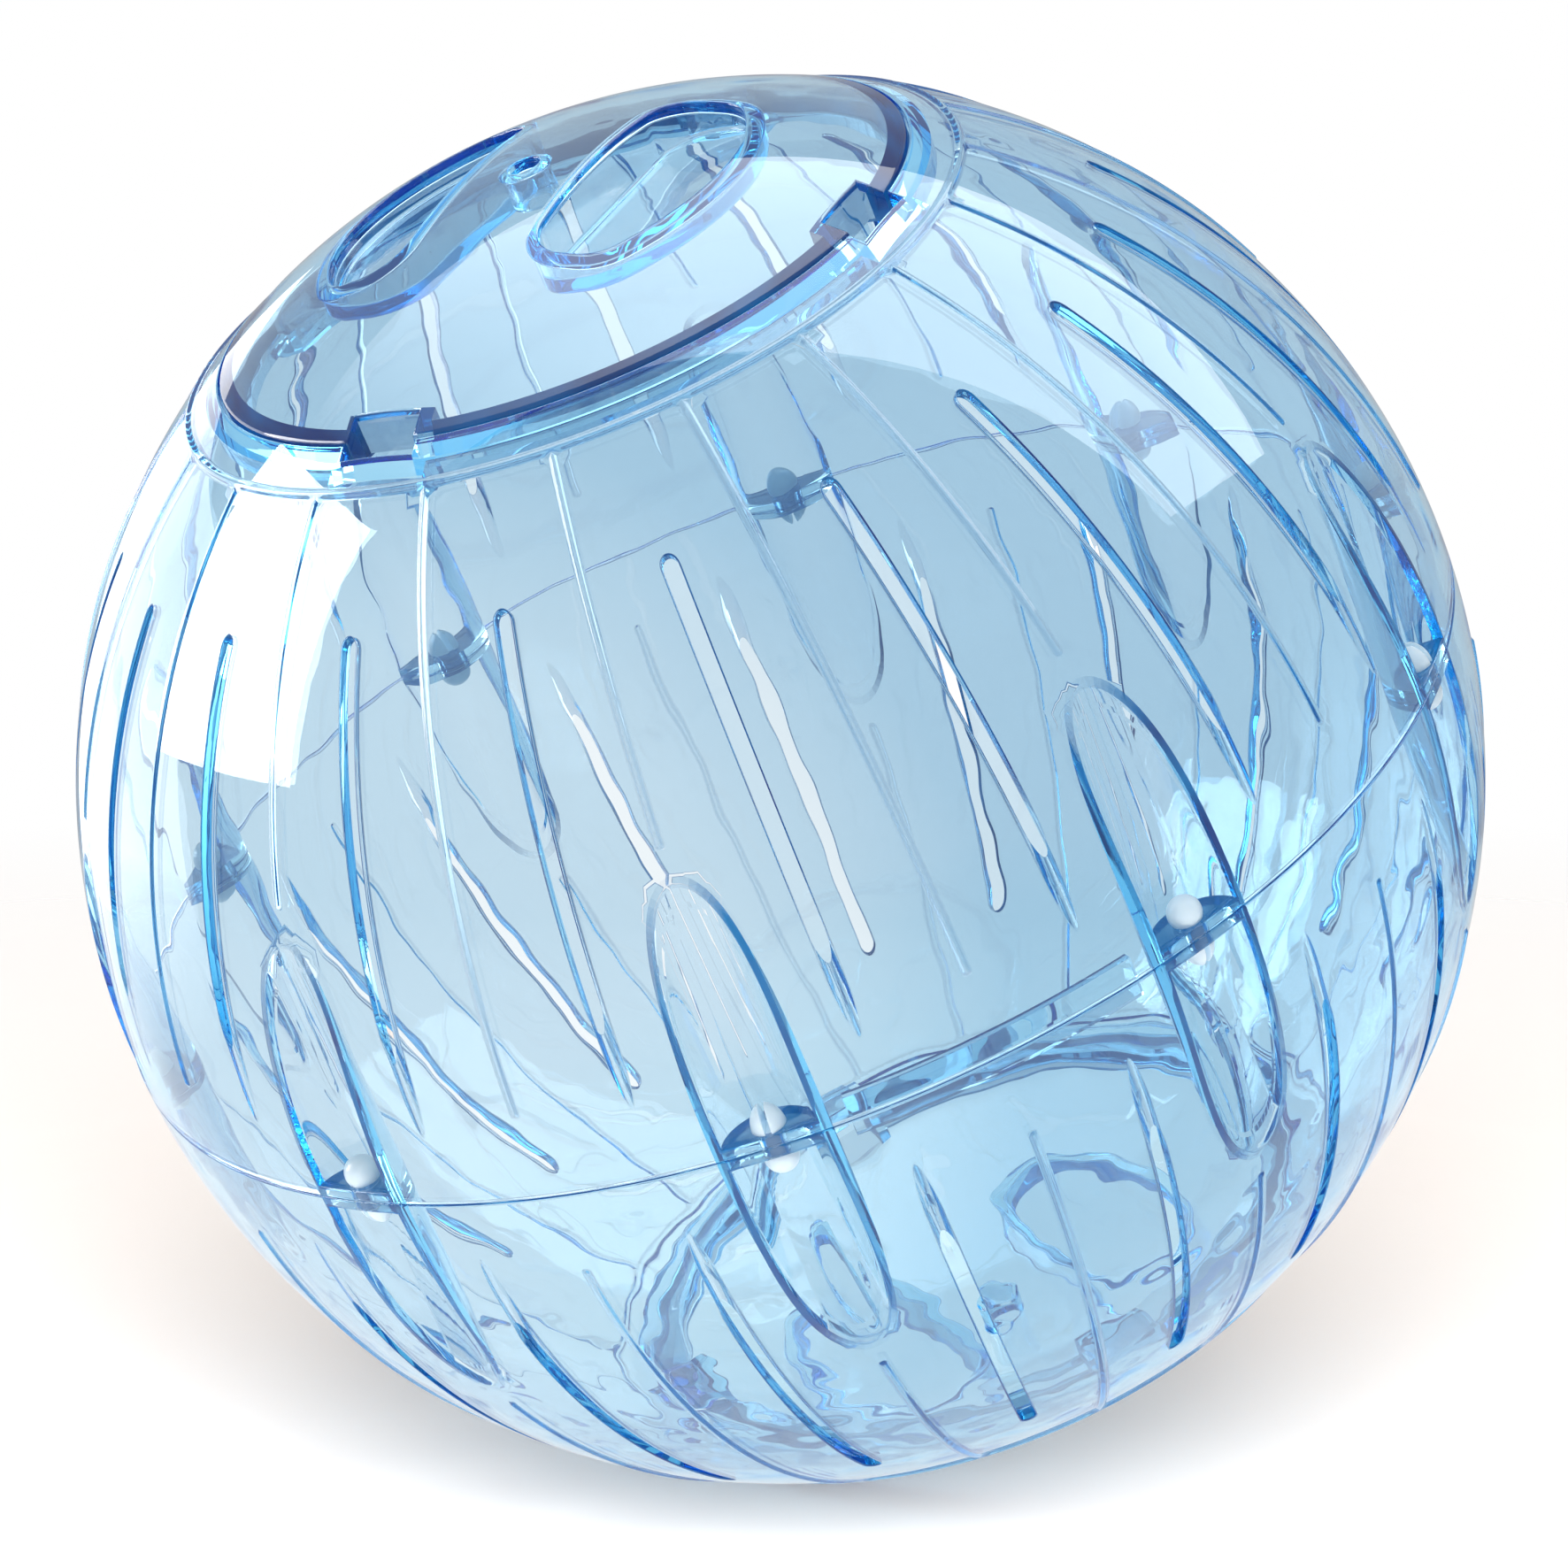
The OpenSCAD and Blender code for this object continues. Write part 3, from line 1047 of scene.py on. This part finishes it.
        # painted shade and guided light: the edge blue is bluest on one side, nearly clear over the
        # last eighth, with a darker painted wall at the upper end
        side_painted_blue = self.slot_painted_blue * np.where(plan[:, 1] > 0, 1, 0.75)
        rim_painted_blue = side_painted_blue * (1 - 0.9 * np.clip(low * 8 - 7, 0, 1))
        wall_blue = self.slot_wall_painted_blue + 0.5 * np.clip(1 - low / 0.04, 0, 1)
        for turn in (pin + side * self.slot_angle for pin in self.pins() for side in (-1, 1)):
            top, bottom = outer.over(turned(plan, turn)), inner.over(turned(under, turn))
            down = (bottom - top) / np.linalg.norm(bottom - top, axis=1, keepdims=True) * edge
            outside.append(outer.beside(top, edge))
            within.append(inner.beside(bottom, edge))
            self.strip(*rounding(outside[-1], top, top + down, 7), edge=rim_painted_blue)
            self.strip(top + down, bottom - down, edge=wall_blue)
            self.strip(*rounding(bottom - down, bottom, within[-1]), edge=0.6 * rim_painted_blue)
        return outside, within

    def hole_of(self, radius: float, dome: Dome, low: float) -> Points:
        """The curve in which an upright cylinder around a channel's axis cuts a dome.

        Args:
            radius: The cylinder's radius.
            dome: The dome.
            low: The height of the curve's ends.

        Returns:
            The curve.
        """
        centre = self.channel_x
        reach = dome.radius ** 2 - low ** 2
        start = math.acos((reach - centre ** 2 - radius ** 2) / (2 * centre * radius))
        turn = np.linspace(start, 2 * np.pi - start, 3000)
        plan = np.column_stack([centre + radius * np.cos(turn), radius * np.sin(turn)])
        z = np.sqrt(np.maximum(dome.radius ** 2 - (plan ** 2).sum(1), low ** 2))
        return spaced(np.column_stack([plan, z]), self.channel_step)

    def pin_hole(self, z: float) -> Points:
        """Outline of a pin's hole on the X side, at a height."""
        return at_height(arc((self.pin_x, 0), self.pin_hole_r, 0, 360, 0.35)[:-1], z)

    def cut_channels(self) -> list[Points]:
        """Adds the outer channels with their tabs and pin holes.

        Returns:
            The channels' loops on the outer surface.
        """
        dome, edge, tab = self.outer, self.edge, self.tab_t
        path = self.hole_of(self.channel_r, dome, tab)
        side = math.degrees(math.atan2(path[0, 1], path[0, 0]))
        front = at_height(arc((0, 0), dome.level(tab), -side, side, self.channel_step)[1:-1], tab)
        top = np.concatenate([path, front])
        inward = 1 - self.tab_gap / dome.radius
        foot = np.concatenate([at_height(path, tab), front * [inward, inward, 1]])
        drop = np.minimum(edge, 0.6 * (path[:, 2] - tab))
        wall = np.concatenate([lowered(path, drop), foot[len(path):]])
        # the rim narrows to nothing at the tab; its painted edge blue, for shade and guided light,
        # is deeper on one side and faint at the top of the arc
        rim = self.channel_rim * np.clip((top[:, 2] - 2 * tab) / tab, 0, 1)[:, None]
        side_on = np.clip((np.abs(top[:, 1]) - 1) / 3.5, 0.12, 1)
        blue = self.channel_painted_blue * np.where(top[:, 1] > 0, 1, 0.65) * side_on
        rings = (top, wall, foot, self.pin_hole(tab), self.pin_hole(self.seam_z))
        loops = []
        for pin in self.pins():
            brow, shaft, base, hole, hole_end = (turned(ring, pin) for ring in rings)
            brim = dome.beside(brow, edge)
            loops.append(dome.beside(brow, edge + rim))
            self.strip(loops[-1], brim, edge=blue)
            self.strip(*rounding(brim, brow, shaft), edge=blue)
            self.strip(shaft, base)
            # painted edge blue on the tab and in the pin hole, for their shade
            self.plate(base, hole, edge=self.tab_painted_blue)
            self.strip(hole, hole_end, edge=self.pin_hole_painted_blue)
        return loops

    def lip(self, pin: float, side: float) -> tuple[Points, Points]:
        """Adds a locating lip that hangs from the seam between two pins.

        Args:
            pin: Direction of the pin before it.
            side: How far round from a pin its channel reaches.

        Returns:
            The stretch of the inner surface's loop and that of the seam's face beside it.
        """
        inner, low = self.inner, self.seam_z
        start, end = (self.pitch - self.lip_angle) / 2, (self.pitch + self.lip_angle) / 2
        before, after = (
            at_height(arc((0, 0), inner.level(low), *span, self.seam_step), low)
            for span in ((side, start), (end, self.pitch - side)))
        fan = arc((0, 0), 1.0, start, end, self.seam_step / self.ball_r)
        out = inner.radius - self.lip_gap
        rows = [at_height(fan * r, z) for r, z in (
            (inner.level(self.lip_h), self.lip_h), (out - self.lip_t, self.lip_h),
            (out - self.lip_t, -self.lip_h), (out, -self.lip_h), (out, low))]
        self.strip(*[turned(row, pin) for row in rows], closed=False)
        for corner, at in ((before[-1], 0), (after[0], -1)):
            self.polygon(turned(np.array([corner, *[row[at] for row in rows]]), pin))
        on_dome, on_face = (turned(np.concatenate([before, row, after[:-1]]), pin)
                            for row in (rows[0], rows[-1]))
        return on_dome, on_face

    def seam(self) -> tuple[Points, Points]:
        """Adds the face along the seam, the channels' inner walls and the lip.

        Returns:
            The outer surface's loop and the inner surface's loop along the seam.
        """
        outer, inner, low = self.outer, self.inner, self.seam_z
        rim = at_height(circle(outer.level(low), self.seam_step), low)
        above = outer.over(circle(outer.level(low + 0.3), self.seam_step))
        inward = 1 - self.seam_edge / outer.radius
        within = rim * [inward, inward, 1]
        self.strip(*rounding(above, rim, within, 3))
        bump = self.hole_of(self.channel_r + self.channel_wall, inner, low)[::-1]
        side = math.degrees(math.atan2(bump[-1, 1], bump[-1, 0]))
        bare = arc((0, 0), inner.level(low), side, self.pitch - side, self.seam_step)[:-1]
        dome_loop, face_loop, holes = [], [], []
        for index, pin in enumerate(self.pins()):
            wall, foot = turned(bump, pin), turned(at_height(bump, low), pin)
            self.strip(wall, foot, closed=False)
            on_dome = on_face = turned(at_height(bare, low), pin)
            if index == self.lip_sector:
                on_dome, on_face = self.lip(pin, side)
            dome_loop += [wall[:-1], on_dome]
            face_loop += [foot[:-1], on_face]
            holes.append(turned(self.pin_hole(low), pin))
        # the seam's face gets a faint painted edge blue, painted guided light
        self.plate(within, np.concatenate(face_loop), *holes, edge=self.seam_painted_blue)
        return above, np.concatenate(dome_loop)

    def collar(self) -> tuple[Points, Points]:
        """Adds the lid opening with its ledge, its notches and the collar around it.

        Returns:
            The opening's loop on the outer surface and the collar's loop on the inner surface.
        """
        edge, half, turn, thick = self.edge, self.notch_half, self.lid_turn, self.collar_wall
        top, low = self.rim_z - self.seat_gap, self.rim_z - self.seat_gap - self.ledge_t
        ledge_r = self.opening_r - self.ledge_w
        mouth = self.notched(self.opening_r, self.notch_r, half)
        ledge = self.notched(ledge_r, ledge_r + 3, half)
        collar = self.notched(self.opening_r + thick, self.notch_r + thick, half + thick)
        parts = []
        for k, angle in enumerate(self.lug_sides):
            near = turned(np.array([[ledge.corner, -half]]), angle)
            far = turned(np.array([[mouth.corner, half]]), angle)
            parts += [near, mouth.notches[k], far, ledge.arcs[k][:-1]]
            area = np.concatenate([mouth.arcs[k], ledge.arcs[k][::-1]])
            self.plate(turned(at_height(area, top), turn))
        step, around = turned(np.concatenate(parts), turn), turned(collar.loop, turn)
        brim = self.outer.over(turned(mouth.loop, turn))
        outside, within = self.outer.beside(brim, edge), self.inner.over(around)
        self.strip(*rounding(outside, brim, lowered(brim, edge)), at_height(brim, top))
        self.strip(at_height(step, top), at_height(step, low))
        self.plate(at_height(around, low), at_height(step, low))
        self.strip(at_height(around, low), within)
        return outside, within

    def shape(self) -> Form:
        """Puts the half together.

        Returns:
            The half itself.
        """
        grid, outer, inner = self.grid, self.outer, self.inner
        slots_out, slots_in = self.cut_slots()
        channels = self.cut_channels()
        seam_out, seam_in = self.seam()
        mouth_out, mouth_in = self.collar()
        for dome, loops in ((outer, [seam_out, mouth_out, *channels, *slots_out]),
                            (inner, [seam_in, mouth_in, *slots_in])):
            fixed = np.concatenate([dome.flat(loop) for loop in loops])
            free = lattice(dome.radius * np.pi / 2, grid)
            free = clear_of(free[np.hypot(*free.T) > self.mouth_reach], fixed, 0.6 * grid)
            if dome == inner:
                self.skin(inner, loops, free)
                continue
            free = np.concatenate([free[self.bead(free)[1] > 0.75 * grid],
                                   clear_of(self.bead_points(), fixed, 0.3)])
            self.skin(outer, loops, free, self.bead(free)[0], self.bead_sides)
        return self


@dataclass
class TwistLid(BallPart):
    """One lid above the seam: a cap with two finger pockets, a boss, a deep rim and four lugs."""

    # painted shade: how much painted navy edge blue the rim's inner wall and underside get
    rim_painted_blue: float = 1.0
    gap: float = 0.3
    rim_w: float = 2.7
    bore_r: float = 2.1
    boss_r: float = 3.05
    boss_l: float = 5.7
    pocket_near: float = 9.9
    pocket_far: float = 27.2
    pocket_w: float = 37.6
    pocket_corner: float = 5.4
    pocket_depth: float = 7.5
    pocket_wall: float = 1.5
    lug_half: float = 4.8
    lug_t: float = 1.6
    lug_reach: float = 0.9
    lug_wall: float = 1.4
    grid: float = 1.8

    def pocket(self, grow: float) -> Points:
        """Outline of a finger pocket on the X side.

        Args:
            grow: How far its edge is moved outwards.

        Returns:
            The closed outline.
        """
        far, corner = self.pocket_far + grow, self.pocket_corner + grow
        y, x = self.pocket_w / 2 + grow - corner, self.pocket_near - grow + corner
        x_far = math.sqrt((far - corner) ** 2 - y ** 2)
        turn = math.degrees(math.atan2(y, x_far))
        parts = [arc(centre, radius, *span, 0.5) for centre, radius, span in (
            ((x, -y), corner, (180, 270)), ((x_far, -y), corner, (270, 360 - turn)),
            ((0, 0), far, (-turn, turn)), ((x_far, y), corner, (turn, 90)),
            ((x, y), corner, (90, 180)))]
        parts[2], parts[3] = parts[2][1:], parts[3][1:]
        return spaced(np.concatenate([*parts, parts[0][:1]]), 0.7)[:-1]

    def sink_pockets(self) -> tuple[list[Points], list[Points]]:
        """Adds both pockets, with rounded brims and floors.

        Returns:
            Their loops on the outer and on the inner surface.
        """
        outer, inner = self.outer, self.inner
        floor = outer.radius - self.pocket_depth
        outside, within = [], []
        for turn in (0, 180):
            for loops, dome, grow, brim_r, foot_r, low in (
                    (outside, outer, 0, 0.5, 0.6, floor),
                    (within, inner, self.pocket_wall, 0.4, 0.5, floor - self.pocket_wall)):
                brim = dome.over(turned(self.pocket(grow), turn))
                plan = brim[:, :2]
                loops.append(dome.beside(brim, brim_r))
                foot, sole = at_height(plan, low), at_height(plan + sideways(plan) * foot_r, low)
                self.strip(*rounding(loops[-1], brim, lowered(brim, brim_r)),
                           *rounding(lowered(foot, -foot_r), foot, sole))
                self.plate(sole)
        return outside, within

    def boss(self) -> tuple[Points, Points]:
        """Adds the boss at the pole with its bore.

        Returns:
            Its loops on the outer and on the inner surface.
        """
        outer, inner = self.outer, self.inner
        ring = round_circle(full_turn(56))
        brim, root = outer.over(ring * self.bore_r), inner.over(ring * self.boss_r)
        low = outer.radius - self.boss_l
        outside, within = outer.beside(brim, 0.3), inner.beside(root, 0.5)
        end = [at_height(ring * r, z) for r, z in (
            (self.bore_r, low + 0.2), (self.bore_r + 0.2, low),
            (self.boss_r - 0.25, low), (self.boss_r, low + 0.25))]
        self.strip(*rounding(outside, brim, lowered(brim, 0.3)), *end,
                   *rounding(lowered(root, 0.5), root, within))
        return outside, within

    def block(self, *marks: float) -> Points:
        """Outline of a lug's block between distances from the axis, with points at each of them."""
        corners = [(x, -self.lug_half) for x in marks] + [(x, self.lug_half) for x in marks[::-1]]
        return line(*corners, corners[0])

    def rim(self) -> tuple[Points, Points]:
        """Adds the deep rim with its windows, and the lugs that hang below them.

        Returns:
            The rim's loops on the outer and on the inner surface.
        """
        edge, half, low = self.edge, self.lug_half, self.rim_z
        rim_r, stem = self.opening_r - self.gap, self.opening_r - self.ledge_w - self.gap
        root, reach = stem - self.lug_wall, self.opening_r + self.lug_reach
        top, wide = low - 2 * self.seat_gap - self.ledge_t, half + self.lug_wall
        around = self.notched(rim_r, stem, half)
        within = self.notched(rim_r - self.rim_w, root, wide, (-half, half))
        brim = self.outer.over(around.loop)
        outside, inside = self.outer.beside(brim, -edge), self.inner.over(within.loop)
        self.strip(*rounding(outside, brim, lowered(brim, edge)))
        self.strip(lowered(brim, edge), at_height(around.loop, low))
        # painted shade: full painted edge blue on the rim's inner circle, less elsewhere
        on_circle = np.hypot(*within.loop.T) > rim_r - self.rim_w - 0.1
        blue = self.rim_painted_blue * np.where(on_circle, 1, 0.4)
        self.strip(inside, at_height(within.loop, low), edge=blue)
        sides = zip(self.lug_sides, (*self.lug_sides[1:], 360.0), around.arcs, within.arcs)
        for here, after, outer_arc, inner_arc in sides:
            start = line((root, half), (stem, half), (around.corner, half))
            finish = line((around.corner, -half), (stem, -half), (root, -half))
            near = line((root, -half), (root, -wide), (within.corner, -wide))
            last = line((within.corner, wide), (root, wide), (root, half))
            area = np.concatenate([turned(start, here), outer_arc[:-1], turned(finish, after),
                                   turned(near, after), inner_arc[::-1][:-1], turned(last, here)])
            self.plate(at_height(area, low), edge=self.rim_painted_blue)
            small, shelf, whole = (turned(self.block(*marks), here) for marks in (
                (root, stem), (stem, reach), (root, stem, reach)))
            self.strip(at_height(small, low), at_height(small, top))
            self.plate(at_height(shelf, top))
            self.strip(at_height(whole, top), at_height(whole, top - self.lug_t))
            self.plate(at_height(whole, top - self.lug_t))
        return outside, inside

    def shape(self) -> Form:
        """Puts the lid together.

        Returns:
            The lid itself.
        """
        pockets, boss, rim = self.sink_pockets(), self.boss(), self.rim()
        for k, dome in enumerate((self.outer, self.inner)):
            loops = [rim[k], boss[k], *pockets[k]]
            fixed = np.concatenate([dome.flat(loop) for loop in loops])
            self.skin(dome, loops, clear_of(lattice(50.0, self.grid), fixed, 1.1))
        return self


@dataclass
class SnapPin:
    """A pin with a ball head and a pointed, split tip, standing on Z through the seam."""

    shank_r: float = 1.5
    head_r: float = 2.15
    tab_t: float = 1.5
    tip_l: float = 3.4
    split_w: float = 0.8
    pin_x: float = 87.5
    turns: int = 32
    soft: float = 0.08

    def outline(self) -> Points:
        """The pin's profile.

        Returns:
            Distance from the axis and height, from the tip's blunt end up to the top of the head.
        """
        head, tab = self.head_r, self.tab_t
        side = (head ** 2 + self.tip_l ** 2) / (2 * head)
        drop = np.linspace(self.tip_l - self.split_w / 2, 0.12, 9)
        tip = np.column_stack([head - side + np.sqrt(side ** 2 - drop ** 2), -tab - drop])
        shoulder = [(head - 0.03, -tab - 0.04), (head - 0.15, -tab), (self.shank_r, -tab),
                    (self.shank_r, tab)]
        ball = arc((0, tab + head / 2), head, -30, 90, head * math.radians(10.01))
        blunt = [(0.0, tip[0, 1]), (tip[0, 0] - 0.12, tip[0, 1])]
        return np.concatenate([blunt, tip, shoulder, ball[:-1], [(0.0, ball[-1, 1])]])

    def form(self) -> Form:
        """Turns the outline around Z.

        Returns:
            The pin, not yet split.
        """
        form = Form()
        ring = round_circle(full_turn(self.turns))
        form.strip(*[at_height(r * ring, z) for r, z in self.outline()])
        return form

    def split(self, pin: bpy.types.Object) -> None:
        """Cuts the slit through the tip and rounds the edges.

        Args:
            pin: The pin, standing on Z.
        """
        half, wide = self.split_w / 2, 2 * self.head_r
        blade = Form()
        plan = np.array([(-wide, -half), (wide, -half), (wide, half), (-wide, half)])
        ends = [at_height(plan, z) for z in (-self.tab_t - self.tip_l, -self.tab_t)]
        blade.strip(*ends)
        for end in ends:
            blade.polygon(end)
        cutter = blade.build("slit")
        cut = pin.modifiers.new("slit", "BOOLEAN")
        cut.operation, cut.solver, cut.object = "DIFFERENCE", "MANIFOLD", cutter
        soft = pin.modifiers.new("soft_edges", "BEVEL")
        soft.width, soft.segments, soft.limit_method = self.soft * MM, 2, "ANGLE"
        soft.angle_limit = math.radians(45)
        ready = pin.evaluated_get(bpy.context.evaluated_depsgraph_get())
        made = bpy.data.meshes.new_from_object(ready)
        pin.modifiers.clear()
        pin.data = made
        bpy.data.objects.remove(cutter)
        smooth(made, ())


@dataclass
class HamsterBall:
    """The whole ball: two halves, two lids and the pins between them, each for its solid."""

    shell: bpy.types.Material
    lid: bpy.types.Material
    pin: bpy.types.Material

    def wear(self, piece: bpy.types.Object, node: str, body: str,
             finish: bpy.types.Material) -> None:
        """Dresses a piece and lets it stand for a CAD node.

        Args:
            piece: The piece.
            node: The node that it replaces.
            body: The body that it rides on.
            finish: Its material.
        """
        piece.data.materials.clear()
        piece.data.materials.append(finish)
        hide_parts(node)
        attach(piece, body)
        log.info("%s rides on %s in place of %s", piece.name, body, node)

    def build(self) -> None:
        """Builds every piece. Only the upper half has the lip."""
        flip = Matrix.Rotation(math.pi, 4, "Y")
        shared = BallPart()
        turn = Matrix.Rotation(math.radians(shared.lid_turn), 4, "Z")
        domes = (shared.outer.radius, shared.inner.radius)
        for name, lip_sector, place in (("upper_half", 0, None), ("lower_half", None, flip)):
            half = HalfShell(lip_sector=lip_sector).shape().build(f"{name}_shell", domes, place)
            self.wear(half, name, "shell", self.shell)
        # painted shade: the lower lid's rim gets less painted edge blue
        for name, rim_painted_blue, place in (("upper_lid", 1.0, turn), ("lower_lid", 0.4, flip @ turn)):
            lid = TwistLid(rim_painted_blue=rim_painted_blue).shape().build(f"{name}_cap", domes, place)
            self.wear(lid, name, f"{name}_body", self.lid)
        self.pins()

    def pins(self) -> None:
        """Builds the snap pins, every second one pushed in from below."""
        maker = SnapPin()
        first = maker.form().build("snap_pin")
        maker.split(first)
        for k in range(10):
            mesh = first.data.copy()
            mesh.transform(Matrix.Rotation(math.radians(-90 + 36 * k), 4, "Z")
                           @ Matrix.Translation((maker.pin_x * MM, 0, 0))
                           @ Matrix.Rotation(math.pi * (k % 2 == 0), 4, "X"))
            pin = in_scene(bpy.data.objects.new(f"snap_pin_{k + 1}", mesh))
            self.wear(pin, f"pin_{k + 1}", "shell", self.pin)
        bpy.data.objects.remove(first)


def main() -> None:
    """Builds the studio and the ball, piece by piece."""
    logging.basicConfig(level=logging.INFO, format="%(message)s")
    scene = bpy.context.scene
    scene.view_settings.view_transform = "Standard"
    scene.cycles.max_bounces = 20
    scene.cycles.glossy_bounces = scene.cycles.transmission_bounces = 18
    scene.cycles.transparent_max_bounces = 16
    camera = PhotoCamera()
    camera.place()
    Studio(camera.axes()).build()
    shell = ClearPlastic("clear_blue_shell").make()
    lid = ClearPlastic("clear_blue_lid").make()
    pin = WhitePlastic("white_pin").make()
    HamsterBall(shell, lid, pin).build()


if __name__ == "__main__":
    main()
